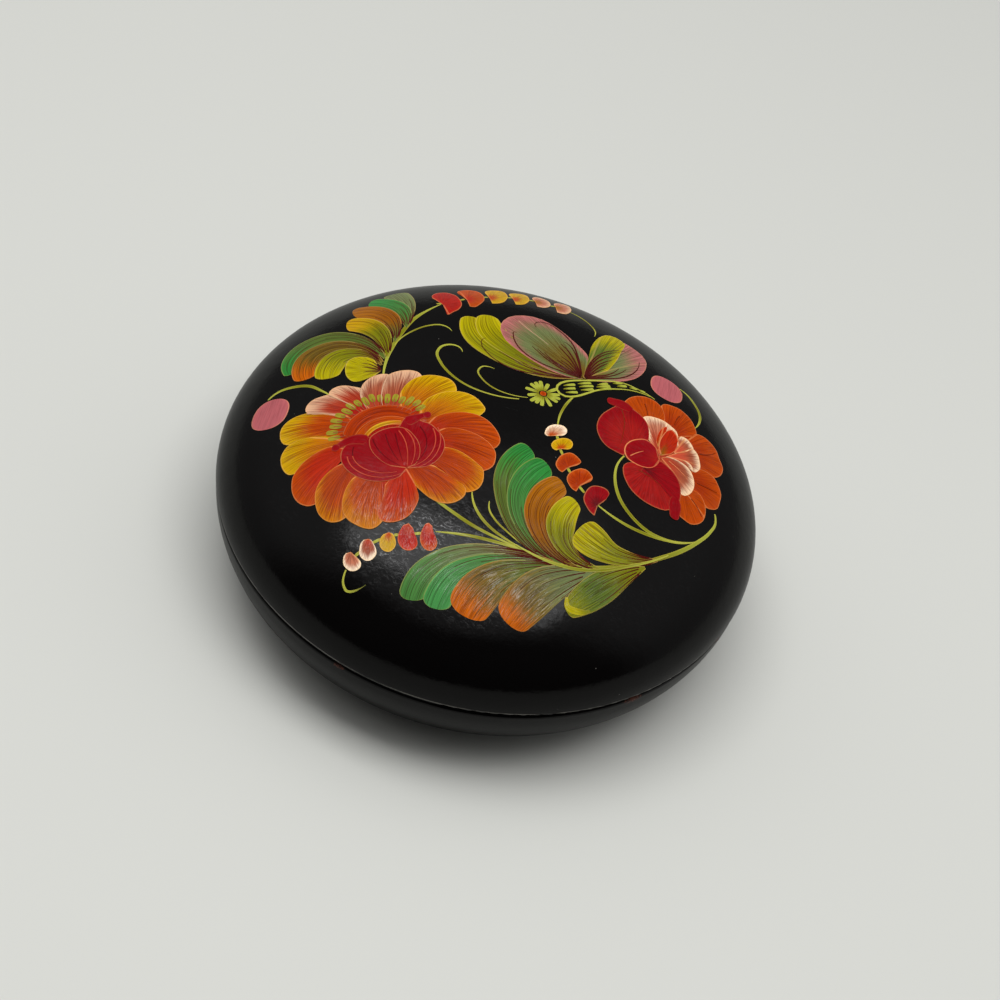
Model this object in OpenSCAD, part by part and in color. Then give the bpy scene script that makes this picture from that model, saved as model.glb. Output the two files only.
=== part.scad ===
// Round lacquer box, bun-shaped: a turned bowl with a flat foot, a collar ring glued into
// its mouth, and a domed lid that drops over the collar and closes flush with the bowl.
// Millimetres, +Z up, origin at the centre of the foot.

/* [Overall] */
// Diameter of the lid at its widest, just above the seam
lid_d = 140; // [110:1:200]
// Rounding of the two edges that meet at the seam
edge_r = 1.2; // [0.5:0.1:2.5]
// How far the bowl's side stands in behind the lid's
bowl_inset = 0.3; // [0:0.1:1.5]

/* [Lid] */
// Height of the dome above the seam
lid_h = 32; // [24:0.5:45]
// Wall at the lid's mouth
lid_wall = 4.5; // [3:0.1:7]
// Thickness at the middle of the dome
lid_crown = 4.5; // [3:0.1:8]

/* [Bowl] */
// Height of the bowl from the table to the seam
bowl_h = 26.5; // [22:0.5:40]
// How far the foot's edge stands in from the bowl's widest point
foot_inset = 18; // [10:1:30]
// How far the inner hollow stands in from the bowl's outer oval, measured downwards
bowl_wall = 5; // [3:0.1:8]
// Thickness of the floor, from the table to the inside
bowl_floor = 5; // [3:0.1:9]
// Width of the ring that the bowl stands on
foot_ring_w = 9; // [5:0.5:14]
// Depth of the turned recess under the foot
foot_recess = 1.2; // [0.5:0.1:2]

/* [Collar] */
// Thickness of the collar ring
collar_t = 2; // [1.5:0.1:3.5]
// Depth of the collar's seat in the bowl's mouth
collar_seat = 7; // [4:0.5:10]
// How far the collar stands up into the lid
collar_rise = 5; // [3:0.5:7]
// Bevel on the collar's top edges, which leads the lid on
collar_bevel = 0.6; // [0.2:0.1:0.7]

/* [Fits] */
// Running gap between the collar and the lid's mouth
lid_fit = 0.25; // [0.1:0.05:0.5]
// Gap between the collar's top and the end of the lid's recess
head_gap = 0.6; // [0.3:0.1:1.5]
// Glue line between the collar and its seat
glue_gap = 0.05; // [0.02:0.01:0.15]

/* [Hidden] */
$fn = 180;

// Overrun of a cut past the face that it opens
cut = 1;
lacquer = "#17120f";
red_lacquer = "#7a2a1c";

seam_z = bowl_h;
lid_r = lid_d / 2;
lid_mouth_r = lid_r - lid_wall;
lid_recess_h = collar_rise + head_gap;
hollow_z = (edge_r + lid_recess_h) / 2;
collar_outer_r = lid_mouth_r - lid_fit;
collar_inner_r = collar_outer_r - collar_t;
seat_r = collar_outer_r + glue_gap;
seat_z = seam_z - collar_seat;

// The bowl's side is the lower part of an oval that is as wide as the bowl and
// deep enough to reach the foot's edge on the table.
bowl_r = lid_r - bowl_inset;
foot_r = bowl_r - foot_inset;
oval_z = seam_z - edge_r;
outer_oval_h = oval_z / sqrt(1 - pow(foot_r / bowl_r, 2));

// The inner hollow follows a smaller oval that runs on from the collar's bore.
inner_oval_h = outer_oval_h - bowl_wall;
inner_oval_r = collar_inner_r / sqrt(1 - pow((oval_z - seat_z) / inner_oval_h, 2));

// Half of an oval, right of the axis: r wide, and h high above its middle
module half_oval(r, h) {
    intersection() {
        scale([1, h / r]) circle(r);
        square([r + cut, h + cut]);
    }
}

// Block right of the axis, r wide and edge_r high, with its outer lower edge rounded off
module rounded_rim(r) {
    square([r - edge_r, edge_r]);
    translate([r - edge_r, edge_r]) intersection() {
        circle(edge_r);
        translate([0, -edge_r]) square(edge_r);
    }
}

// Outer section of a dome of radius r and height h that stands on a rounded rim
module domed_section(r, h) {
    translate([0, edge_r]) half_oval(r, h - edge_r);
    rounded_rim(r);
}

module lid_section() {
    difference() {
        domed_section(lid_r, lid_h);
        // Recess for the collar
        translate([0, -cut]) square([lid_mouth_r, lid_recess_h + cut]);
        // Hollow of the dome, which opens into the recess
        intersection() {
            translate([0, edge_r]) half_oval(lid_mouth_r, lid_h - edge_r - lid_crown);
            translate([0, hollow_z]) square([lid_r, lid_h]);
        }
    }
}

module bowl_outside() {
    intersection() {
        translate([0, seam_z]) mirror([0, 1]) domed_section(bowl_r, edge_r + outer_oval_h);
        square([lid_r, seam_z]);
    }
}

module bowl_section() {
    difference() {
        bowl_outside();
        // Seat for the collar
        translate([0, seat_z]) square([seat_r, collar_seat + cut]);
        // Hollow, which opens into the seat
        intersection() {
            translate([0, oval_z]) mirror([0, 1]) half_oval(inner_oval_r, inner_oval_h);
            translate([0, bowl_floor]) square([lid_r, seat_z - bowl_floor + cut]);
        }
        // Recess under the foot, with a sloping wall
        polygon([
            [0, -cut],
            [foot_r - foot_ring_w + cut, -cut],
            [foot_r - foot_ring_w - foot_recess, foot_recess],
            [0, foot_recess]
        ]);
    }
}

module collar_section() {
    height = collar_seat + collar_rise;
    translate([collar_inner_r, seat_z]) polygon([
        [0, 0],
        [collar_t, 0],
        [collar_t, height - collar_bevel],
        [collar_t - collar_bevel, height],
        [collar_bevel, height],
        [0, height - collar_bevel]
    ]);
}

module base_bowl() {
    color(lacquer) rotate_extrude() bowl_section();
}

module base_collar() {
    color(red_lacquer) rotate_extrude() collar_section();
}

module lid_dome() {
    color(lacquer) translate([0, 0, seam_z]) rotate_extrude() lid_section();
}

base_bowl();
base_collar();
lid_dome();
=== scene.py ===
import math

import bpy
import numpy as np
from mathutils import Matrix, Vector


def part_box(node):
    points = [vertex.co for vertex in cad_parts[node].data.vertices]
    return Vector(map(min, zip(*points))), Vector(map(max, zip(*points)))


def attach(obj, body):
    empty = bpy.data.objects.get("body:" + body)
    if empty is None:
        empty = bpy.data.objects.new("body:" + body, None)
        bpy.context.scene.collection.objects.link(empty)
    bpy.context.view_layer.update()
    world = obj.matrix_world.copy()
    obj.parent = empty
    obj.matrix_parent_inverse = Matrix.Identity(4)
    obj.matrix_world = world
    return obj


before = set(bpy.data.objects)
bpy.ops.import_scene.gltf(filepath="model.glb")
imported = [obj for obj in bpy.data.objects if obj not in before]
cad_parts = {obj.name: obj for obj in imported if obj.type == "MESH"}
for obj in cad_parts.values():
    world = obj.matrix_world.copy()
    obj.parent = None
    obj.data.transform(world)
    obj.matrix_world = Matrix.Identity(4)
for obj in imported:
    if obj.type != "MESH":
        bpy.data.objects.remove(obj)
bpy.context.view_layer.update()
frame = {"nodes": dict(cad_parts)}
mm = 0.001
print("frame loaded:", ", ".join(frame["nodes"]))

# sizes that the looks need, in mm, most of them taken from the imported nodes
lidLow, lidHigh = (np.array(corner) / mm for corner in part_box("lid_dome"))
_, bowlHigh = (np.array(corner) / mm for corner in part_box("base_bowl"))
_, collarHigh = (np.array(corner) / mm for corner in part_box("base_collar"))
edgeRound = 1.2                                   # rounding of the two edges at the seam
footInset = 18                                    # how far the foot's edge stands in from the bowl's side
seamZ = float(lidLow[2])
collarTop = float(collarHigh[2])
lidRadius = float(lidHigh[0])
bowlRadius = float(bowlHigh[0])
domeZ = seamZ + edgeRound                         # widest level of the lid
domeRise = float(lidHigh[2]) - domeZ
bowlZ = seamZ - edgeRound                         # widest level of the bowl
footRadius = bowlRadius - footInset
bowlDrop = bowlZ / math.sqrt(1 - (footRadius / bowlRadius) ** 2)    # how deep the oval of its side is


def linear(colour):
    # a colour written as it looks, 0 to 255, in the values that the shaders use
    shares = [part / 255 for part in colour]
    return tuple(s / 12.92 if s <= 0.04045 else ((s + 0.055) / 1.055) ** 2.4 for s in shares) + (1.0,)


class Wire:
    # one socket of a shader, so that its maths is written as plain sums
    def __init__(self, finish, socket):
        self.finish = finish
        self.socket = socket

    def maths(self, operation, *values):
        return self.finish.node("ShaderNodeMath", {"operation": operation}, dict(enumerate(values)))

    def __abs__(self):
        return self.maths("ABSOLUTE", self)

    def __add__(self, other):
        return self.maths("ADD", self, other)

    def __sub__(self, other):
        return self.maths("SUBTRACT", self, other)

    def __rsub__(self, other):
        return self.maths("SUBTRACT", other, self)

    def __mul__(self, other):
        return self.maths("MULTIPLY", self, other)

    def __truediv__(self, other):
        return self.maths("DIVIDE", self, other)

    def __rtruediv__(self, other):
        return self.maths("DIVIDE", other, self)

    def __pow__(self, other):
        return self.maths("POWER", self, other)

    def __rpow__(self, other):
        return self.maths("POWER", other, self)

    __radd__ = __add__
    __rmul__ = __mul__


class Finish:
    # one node tree and short ways to add to it
    def __init__(self, tree):
        self.tree = tree
        self.tree.nodes.clear()

    def node(self, kind, settings=None, sockets=None, out=0):
        made = self.tree.nodes.new(kind)
        for name, value in (settings or {}).items():
            setattr(made, name, value)
        for key, value in (sockets or {}).items():
            if isinstance(value, Wire):
                self.tree.links.new(value.socket, made.inputs[key])
            else:
                made.inputs[key].default_value = value
        return Wire(self, made.outputs[out]) if made.outputs else None

    def attribute(self, name, out="Vector"):
        return self.node("ShaderNodeAttribute", {"attribute_name": name}, out=out)

    def places(self):
        # where a point is, in mm
        point = self.node("ShaderNodeTexCoord", out="Object")
        return self.stretch(point, (1 / mm, 1 / mm, 1 / mm))

    def split(self, vector):
        parts = self.node("ShaderNodeSeparateXYZ", {}, {0: vector})
        return [Wire(self, parts.socket.node.outputs[axis]) for axis in range(3)]

    def join(self, x, y, z):
        return self.node("ShaderNodeCombineXYZ", {}, {0: x, 1: y, 2: z})

    def stretch(self, vector, scale):
        return self.node("ShaderNodeVectorMath", {"operation": "MULTIPLY"}, {0: vector, 1: scale})

    def noise(self, vector, pitch, detail=2.0, rough=0.5):
        # a pitch is the size of one patch, in the vector's own units
        return self.node("ShaderNodeTexNoise", {},
                         {"Vector": vector, "Scale": 1 / pitch, "Detail": detail, "Roughness": rough})

    def ease(self, value, low, high, start=0.0, end=1.0):
        sockets = {"Value": value, "From Min": low, "From Max": high, "To Min": start, "To Max": end}
        return self.node("ShaderNodeMapRange", {"interpolation_type": "SMOOTHSTEP"}, sockets)

    def blend(self, share, first, second, how="MIX"):
        return self.node("ShaderNodeMix", {"data_type": "RGBA", "blend_type": how, "clamp_factor": True},
                         {0: share, 6: first, 7: second}, out=2)

    def bump(self, height, distance):
        # the distance is in mm
        return self.node("ShaderNodeBump", {},
                         {"Strength": 1.0, "Distance": distance * mm, "Height": height})

    def gloss(self, sockets, dull=0.0):
        # a dull share mirrors nothing, which also tames the glare along the outline
        shader = self.node("ShaderNodeBsdfPrincipled", {}, sockets)
        if dull:
            plain = {"Base Color": sockets["Base Color"], "Roughness": 1.0, "Specular IOR Level": 0.0}
            matt = self.node("ShaderNodeBsdfPrincipled", {}, plain)
            shader = self.node("ShaderNodeMixShader", {}, {0: dull, 1: shader, 2: matt})
        self.node("ShaderNodeOutputMaterial", {}, {"Surface": shader})


def newFinish(name):
    material = bpy.data.materials.new(name)
    material.use_nodes = True
    return material, Finish(material.node_tree)


# lacquer: black outside, red-brown inside, a little uneven and scuffed all over, with a painted highlight
# along the lid's lower edge

lacquer = {
    "black": linear((6, 5, 5)),
    "inside": linear((104, 26, 17)),
    "insideDark": linear((66, 15, 11)),
    "worn": linear((84, 44, 32)),
    "dust": linear((150, 148, 140)),
    # painted highlight: pale colour laid along the lid's widest level, standing in for the floor's
    # reflection in its rounded lower edge
    "edgeHighlight": linear((104, 102, 97)),
    "roughness": 0.1,
    "dull": 0.6,                                  # share that mirrors nothing
    "rubPlace": (-5, -41),                        # mm, where hands rubbed the lid most
    "rubReach": (34, 8),                          # mm from there to where it starts and where it is full
    "rubHeights": (36, 48),                       # mm, the same upwards, so that the sides stay clean
    "wornBelow": 0.9,                             # mm below the seam, where its edge is worn most
    "footBlack": 3,                               # mm above the table, up to where the foot is all black
    "insideEdge": (0.953, 0.945),                 # on the outer oval's scale, where black turns to red
    # the seam's worn places: x and y in mm, and how far each one reaches
    "wornPlaces": [(47.2, -51.5, 3.6), (65, -25.6, 2.6), (-23.3, -65.9, 2.2), (-66, 22, 3),
                   (12, 68.8, 2.4)],
}


def scuffs(finish, point):
    # fine rubbing marks, most of them one way, and the pebbled skin of a brushed coat
    x, y, z = finish.split(point)
    sway = (finish.noise(point, 1.7, 2) - 0.5) * 2.4
    oneWay = finish.join((x * 0.95 - y * 0.3) * 0.16, y * 0.95 + x * 0.3 + sway, z * 0.3)
    otherWay = finish.join((x * 0.8 + y * 0.6) * 0.2, y * 0.8 - x * 0.6 + sway, z * 0.3)
    rubOne = finish.ease(finish.noise(oneWay, 0.3, 3, 0.68), 0.5, 0.68)
    rubTwo = finish.ease(finish.noise(otherWay, 0.3, 3, 0.68), 0.58, 0.74)
    patches = finish.ease(finish.noise(point, 11, 4, 0.62), 0.38, 0.6)
    rubX, rubY = lacquer["rubPlace"]
    fromRub = ((x - rubX) * (x - rubX) + (y - rubY) * (y - rubY)) ** 0.5
    much = finish.ease(fromRub, *lacquer["rubReach"], 0.12, 1) * finish.ease(z, *lacquer["rubHeights"])
    rubbed = (rubOne + rubTwo * 0.6) * (0.15 + patches * 0.85) * much
    height = finish.noise(point, 2.6, 2) * 1.4 + rubbed * 0.5 + finish.noise(point, 0.7, 2) * 0.6
    return rubbed, patches, height


def lacquerCoat(name, middleZ, radius, drop, insideAbove):
    # the outside is the skin of one oval, so a point's depth below it tells inside from outside;
    # the red starts at a level, so that the foot's recess stays black
    material, finish = newFinish(name)
    point = finish.places()
    x, y, z = finish.split(point)
    skin = (x * x + y * y) / radius ** 2 + (z - middleZ) * (z - middleZ) / drop ** 2
    deep = finish.ease(skin, *lacquer["insideEdge"])
    inside = deep * finish.ease(z, insideAbove - 0.2, insideAbove + 0.2)
    rubbed, patches, height = scuffs(finish, point)

    # at a few places the seam's edge is rubbed down to the undercoat
    chips = finish.noise(point, 0.8, 4, 0.7)
    below = z - seamZ + lacquer["wornBelow"]
    worn = 0.0
    for placeX, placeY, reach in lacquer["wornPlaces"]:
        away = (x - placeX) * (x - placeX) + (y - placeY) * (y - placeY) + below * below * 5
        worn = worn + finish.ease(away / reach ** 2 + chips * 3, 2.1, 1.3) * 0.8
    # painted highlight: a pale band at the lid's widest level, just above its rounded lower edge, in
    # place of the floor's reflection there
    edgePatches = finish.ease(finish.noise(point, 6, 4, 0.65), 0.3, 0.6)
    edgeHighlightMask = finish.ease(abs(z - domeZ), 0.26, 0.1) * edgePatches
    footRub = finish.ease(z, 0.5, 0.05) * finish.ease(finish.noise(point, 9, 5, 0.66), 0.5, 0.64)
    bare = worn + footRub * 0.8

    specks = finish.node("ShaderNodeTexVoronoi", {"feature": "F1"}, {"Vector": point, "Scale": 0.16})
    dust = finish.ease(specks, 0.024, 0.012) * 0.5
    rings = finish.noise(finish.stretch(point, (0.2, 0.2, 2.5)), 2.2, 4)
    red = finish.blend(rings, lacquer["insideDark"], lacquer["inside"])
    colour = finish.blend(inside, lacquer["black"], red)
    colour = finish.blend(edgeHighlightMask * (1 - inside) * 0.8, colour, lacquer["edgeHighlight"])
    colour = finish.blend(bare, colour, lacquer["worn"])
    colour = finish.blend(dust * (1 - inside), colour, lacquer["dust"])
    roughness = lacquer["roughness"] + patches * 0.05 + rubbed * 0.05 + inside * 0.12
    roughness = roughness + bare * 0.3 + dust * 0.4
    normal = finish.bump(height - bare * 0.9, 0.025)
    finish.gloss({"Base Color": colour, "Roughness": roughness, "Normal": normal, "IOR": 1.36,
                  "Coat Weight": rubbed * 0.7, "Coat Roughness": 0.12, "Coat IOR": 2.3}, lacquer["dull"])
    return material


def collarCoat():
    material, finish = newFinish("collarLacquer")
    point = finish.places()
    rings = finish.noise(finish.stretch(point, (0.15, 0.15, 3)), 1.6, 4, 0.6)
    rubbed = finish.ease(finish.noise(point, 4, 4, 0.65), 0.55, 0.72)
    z = finish.split(point)[2]
    topEdge = finish.ease(z, collarTop - 0.8, collarTop)
    colour = finish.blend(rings, lacquer["insideDark"], lacquer["inside"])
    colour = finish.blend(rubbed * (0.2 + topEdge * 0.6), colour, lacquer["worn"])
    finish.gloss({"Base Color": colour, "Roughness": 0.3 + rubbed * 0.2,
                  "Normal": finish.bump(rings, 0.02), "IOR": 1.5}, lacquer["dull"])
    return material


def dress(node, material):
    slots = frame["nodes"][node].data.materials
    slots.clear()
    slots.append(material)


dress("lid_dome", lacquerCoat("lidLacquer", domeZ, lidRadius, domeRise, 0))
dress("base_bowl", lacquerCoat("bowlLacquer", bowlZ, bowlRadius, bowlDrop, lacquer["footBlack"]))
dress("base_collar", collarCoat())
print("lacquer laid on", len(frame["nodes"]), "nodes")


# flower paint: each brush stroke is a thin skin on the dome that carries its own three inks

paint = {
    "lift": 0.03,                                 # mm above the lacquer
    "layer": 0.006,                               # mm that each stroke stands above the last
    "root": -0.07,                                # mm, where its edge ends, below the lacquer
    "bristle": 0.27,                              # mm between brush marks
    "rimWidth": 0.32,                             # mm of pale edge
    "dryTint": (0.5, 0.36, 0.34, 1),              # what dry brush marks leave of each ink
    "wetTint": (1.4, 1.32, 1.2, 1),               # and what full ones make of it
    "roughness": 0.16,
    "thinnest": 0.06,                             # mm, half the width of the finest line
    "rowsPerPoint": 7,                            # mesh rows for each point of a stroke's spine
    "rowLimits": (12, 60),
    "petalGrid": (12, 44),                        # mesh rows and columns of a broad petal
}

inks = {name: linear(colour) for name, colour in {
    "orange": (174, 65, 1), "deepOrange": (160, 49, 1), "fire": (174, 36, 5), "red": (164, 26, 16),
    "amber": (184, 108, 2), "gold": (190, 148, 2), "yellow": (168, 158, 3), "crimson": (138, 5, 16),
    "wine": (96, 6, 14), "ruby": (154, 22, 20), "peach": (214, 124, 78), "coral": (190, 74, 50),
    "blush": (190, 116, 88), "cream": (240, 220, 194), "rose": (168, 58, 34), "pink": (178, 93, 98),
    "mauve": (174, 104, 102), "green": (42, 128, 52), "jade": (68, 122, 56), "moss": (84, 104, 38),
    "sage": (106, 118, 72), "olive": (118, 120, 10), "lime": (158, 166, 58), "straw": (150, 140, 40),
    "brown": (138, 80, 4), "umber": (108, 86, 22), "ochre": (154, 92, 5), "maroon": (76, 16, 10),
    "rust": (120, 38, 5), "clay": (158, 82, 56), "shell": (206, 162, 130), "rim": (236, 186, 116),
    "tangerine": (188, 92, 1), "mint": (66, 138, 70), "ivory": (226, 194, 162),
}.items()}


def paintCoat():
    material, finish = newFinish("flowerPaint")
    # how far along the stroke as a share, across it in mm, and mm from its edge
    along, across, edge = finish.split(finish.attribute("stroke"))
    streak, rim, seed = finish.split(finish.attribute("feel"))
    bristle = paint["bristle"]
    broad = finish.noise(finish.join(along * 1.3, across / (bristle * 3), seed), 1, 2)
    fine = finish.noise(finish.join(along * 1.5, across / bristle, seed + 7), 1, 2, 0.7)
    fine = finish.ease(fine, 0.3, 0.7)
    spread = along + (broad - 0.5) * streak * 0.34 + (fine - 0.5) * streak * 0.18
    colour = finish.blend(finish.ease(spread, 0.06, 0.52), finish.attribute("inkRoot", "Color"),
                          finish.attribute("inkMid", "Color"))
    colour = finish.blend(finish.ease(spread, 0.5, 0.96), colour, finish.attribute("inkTip", "Color"))

    # dry bristles let some dark through, and full ones leave a brighter line
    dark = finish.blend(1.0, colour, paint["dryTint"], "MULTIPLY")
    bright = finish.blend(1.0, colour, paint["wetTint"], "MULTIPLY")
    pale = finish.blend(0.32, bright, inks["rim"])
    colour = finish.blend(finish.ease(fine, 0.55, 0.1) * streak * 0.8, colour, dark)
    colour = finish.blend(finish.ease(fine, 0.6, 1) * streak * 0.6, colour, bright)
    colour = finish.blend(finish.ease(edge, 1.7, 0.3) * rim * 0.3, colour, bright)
    width = paint["rimWidth"]
    wobble = finish.noise(finish.join(along * 9, across * 0.4, seed + 3), 1, 2)
    rimShare = finish.ease(edge + (wobble - 0.5) * 0.3, width, width * 0.25) * rim * (0.45 + wobble)
    colour = finish.blend(rimShare, colour, pale)

    rubbed, patches, height = scuffs(finish, finish.places())
    roughness = paint["roughness"] + patches * 0.05 + rubbed * 0.05
    brushed = height + fine * streak * 2.2 + finish.ease(edge, 0, 0.3) * 0.8

    # broken glints along the bristle marks
    glints = finish.noise(finish.join(along * 6, across / bristle * 1.8, seed + 17), 1, 3, 0.7)
    glints = finish.ease(glints, 0.52, 0.67) * (0.25 + patches * 0.75)
    normal = finish.bump(brushed, 0.012)
    finish.gloss({"Base Color": colour, "Roughness": roughness, "Normal": normal, "IOR": 1.22,
                  "Coat Weight": glints, "Coat Roughness": 0.18, "Coat IOR": 2.4}, lacquer["dull"])
    return material


flowerPaint = paintCoat()


def smoothCurve(points, spacing):
    # a curve through points, cut at shares of its length; further columns, such as widths, run along
    knots = np.array(points, float)
    chord = np.r_[0, np.cumsum(np.hypot(*np.diff(knots[:, :2], axis=0).T))]
    slope = np.gradient(knots, chord, axis=0, edge_order=2 if len(knots) > 2 else 1)
    where = np.linspace(0, chord[-1], 40 * len(knots))
    piece = np.clip(np.searchsorted(chord, where, side="right") - 1, 0, len(knots) - 2)
    span = (chord[piece + 1] - chord[piece])[:, None]
    t = (where - chord[piece])[:, None] / span
    fine = ((2 * t ** 3 - 3 * t ** 2 + 1) * knots[piece] + (t ** 3 - 2 * t ** 2 + t) * span * slope[piece]
            + (3 * t ** 2 - 2 * t ** 3) * knots[piece + 1] + (t ** 3 - t ** 2) * span * slope[piece + 1])
    run = np.r_[0, np.cumsum(np.hypot(*np.diff(fine[:, :2], axis=0).T))]
    columns = [np.interp(spacing * run[-1], run, column) for column in fine.T]
    return np.stack(columns, -1), run[-1]


def onDome(flat, lift):
    # points of the plan, in mm, laid on the lid and raised along its normal
    x, y = flat[..., 0], flat[..., 1]
    fall = np.sqrt(np.clip(1 - (x * x + y * y) / lidRadius ** 2, 0.004, 1))
    point = np.stack([x, y, domeZ + domeRise * fall], -1)
    normal = np.stack([x / lidRadius ** 2, y / lidRadius ** 2, fall / domeRise], -1)
    normal /= np.linalg.norm(normal, axis=-1, keepdims=True)
    return point + normal * np.asarray(lift)[..., None]


class Motif:
    # one painted figure: its strokes gather in one mesh that rides on the lid
    def __init__(self, name, layer=0):
        self.name = name
        self.layer = layer
        self.count = 0
        self.points, self.faces, self.smooth = [], [], []
        self.marks = {"stroke": [], "feel": [], "inkRoot": [], "inkMid": [], "inkTip": []}
        self.used = 0

    def skin(self, flat, along, across, edge, colours, streak, rim, tilt=0.0):
        # a closed skin over a grid of the plan, whose first and last rows and columns are its border
        rows, columns = flat.shape[:2]
        self.count += 1
        lean = np.linspace(-tilt, tilt, columns)[None, :] * np.ones((rows, 1))
        top = onDome(flat, paint["lift"] + paint["layer"] * self.layer + lean)
        index = np.arange(rows * columns).reshape(rows, columns)
        border = np.r_[index[0, :], index[1:, -1], index[-1, -2::-1], index[-2:0:-1, 0]]
        low = onDome(flat.reshape(-1, 2)[border], np.full(len(border), paint["root"]))
        start = self.used
        self.points.append(np.r_[top.reshape(-1, 3), low])
        corners = [index[:-1, :-1], index[:-1, 1:], index[1:, 1:], index[1:, :-1]]
        self.addFaces(start, np.stack(corners, -1).reshape(-1, 4).tolist(), True)
        ring = rows * columns + np.arange(len(border))
        walls = np.stack([border, ring, np.roll(ring, -1), np.roll(border, -1)], -1)
        self.addFaces(start, walls.tolist(), False)
        self.addFaces(start, self.underside(ring, rows, columns), False)
        total = rows * columns + len(border)
        self.used += total
        seed = 1.37 * self.count + len(self.name)
        values = np.stack([along, across, edge], -1).reshape(-1, 3)
        self.marks["stroke"].append(np.r_[values, values[border]])
        self.marks["feel"].append(np.tile([streak, rim, seed], (total, 1)))
        for mark, ink in zip(("inkRoot", "inkMid", "inkTip"), colours.split()):
            self.marks[mark].append(np.tile(inks[ink], (total, 1)))

    def underside(self, ring, rows, columns):
        # a strip from side to side, inside the lid's wall
        right = ring[columns - 1:columns + rows - 1]
        left = np.r_[ring[0], ring[:len(ring) - rows:-1]][:rows]
        strip = [[left[i], left[i + 1], right[i + 1], right[i]] for i in range(rows - 1)]
        first = ring[:columns][::-1].tolist()
        last = ring[columns + rows - 2:2 * columns + rows - 2][::-1].tolist()
        return strip + [end for end in (first, last) if len(end) > 2]

    def addFaces(self, start, faces, smooth):
        for face in faces:
            self.faces.append([start + corner for corner in face])
            self.smooth.append(smooth)

    def stroke(self, colours, spine, widths, rootRound=0.0, tipRound=1.0, streak=1.0, rim=0.8, tilt=0.004,
               rise=1, columns=8, late=1.0):
        # a loaded brush pulled along a spine; half widths are given at the spine's points
        # a late stroke changes its ink nearer to its tip
        self.layer += rise
        knots = [(x, y, width) for (x, y), width in zip(spine, widths)]
        rows = int(np.clip(len(spine) * paint["rowsPerPoint"], *paint["rowLimits"]))
        share = 0.5 - 0.5 * np.cos(np.linspace(0, math.pi, rows))
        line, length = smoothCurve(knots, share)
        pulled = np.maximum(line[:, 2], paint["thinnest"])
        half = pulled.copy()
        for reach, ahead in ((tipRound * pulled[-1], share), (rootRound * pulled[0], 1 - share)):
            if reach > 0:                         # this end is rounded off
                into = np.clip((ahead * length - (length - reach)) / reach, 0, 0.9995)
                half = half * (1 - into ** 2.5) ** 0.45
        heading = np.gradient(line[:, :2], axis=0)
        heading /= np.linalg.norm(heading, axis=1, keepdims=True)
        side = np.stack([-heading[:, 1], heading[:, 0]], -1)
        lay = np.sin(np.linspace(-math.pi / 2, math.pi / 2, columns + 1))
        offset = half[:, None] * lay[None, :]
        flat = line[:, None, :2] - offset[..., None] * side[:, None, :]
        along = np.repeat(share[:, None] ** late, columns + 1, 1)
        across = offset / pulled[:, None] * pulled.max()
        edge = half[:, None] * (1 - np.abs(lay))[None, :]
        self.skin(flat, along, across, edge, colours, streak, rim, tilt)
        return flat

    def fan(self, colours, root, tipEdge, streak=0.8, rim=0.8, rise=1, bend=0.0, late=1.0):
        # a broad petal: brush marks spread from its root to each point of its tip's edge
        self.layer += rise
        rows, columns = paint["petalGrid"]
        root = np.array(root, float)
        tip, _ = smoothCurve(tipEdge, 0.5 - 0.5 * np.cos(np.linspace(0, math.pi, columns)))
        spoke = tip[:, :2] - root
        if np.sum(spoke[:-1, 0] * spoke[1:, 1] - spoke[:-1, 1] * spoke[1:, 0]) > 0:
            spoke = spoke[::-1]                   # always clockwise, so that the skin faces outwards
        share = np.sin(np.linspace(0.02, math.pi / 2, rows))[:, None]
        sideways = np.stack([-spoke[:, 1], spoke[:, 0]], -1)
        offset = share[..., None] * spoke + (bend * share * (1 - share))[..., None] * sideways
        reach = np.linalg.norm(spoke, axis=1)
        edge = (1 - share) * reach
        for side in (spoke[0], spoke[-1]):
            away = np.abs(offset[..., 0] * side[1] - offset[..., 1] * side[0]) / np.linalg.norm(side)
            edge = np.minimum(edge, np.where(offset @ side > 0, away, edge))
        run = np.r_[0, np.cumsum(np.linalg.norm(np.diff(spoke, axis=0), axis=1))]
        across = np.tile(run - run[-1] / 2, (rows, 1))
        along = np.repeat(share ** late, columns, 1)
        self.skin(root + offset, along, across, edge, colours, streak, rim)

    def line(self, colours, points, width, ends=(0.35, 0.35), streak=0.35, rim=0.35, rise=1):
        # a stem or tendril, thickest in its middle
        shares = np.linspace(0, 1, len(points))
        swell = np.interp(shares, (0, 0.35, 0.7, 1), (ends[0], 1, 1, ends[1]))
        self.stroke(colours, points, width * swell, rootRound=0.8, tipRound=0.8, streak=streak, rim=rim,
                    tilt=0, rise=rise, columns=4)

    def hair(self, colour, points, width):
        # a hairline drawn with the tip of the brush
        shares = np.linspace(0, 1, len(points))
        widths = width * np.interp(shares, (0, 0.4, 1), (1, 0.9, 0.3))
        self.layer += 1
        self.stroke(f"{colour} {colour} {colour}", points, widths, rootRound=0.5, tipRound=0.5,
                    streak=0, rim=0, tilt=0, rise=0, columns=2)
        self.layer -= 1

    def veins(self, colour, grid, places, reach, width):
        # hairlines that follow the brush marks of a stroke, each between two shares of its length
        rows, columns = grid.shape[:2]
        for place, (start, end) in zip(places, reach):
            ends = np.linspace(start, end, 5) * (rows - 1)
            column = (place * 0.5 + 0.5) * (columns - 1)
            low = int(min(column, columns - 2))
            line = grid[:, low] + (column - low) * (grid[:, low + 1] - grid[:, low])
            x, y = (np.interp(ends, range(rows), part) for part in line.T)
            self.hair(colour, list(zip(x, y)), width)

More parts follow.
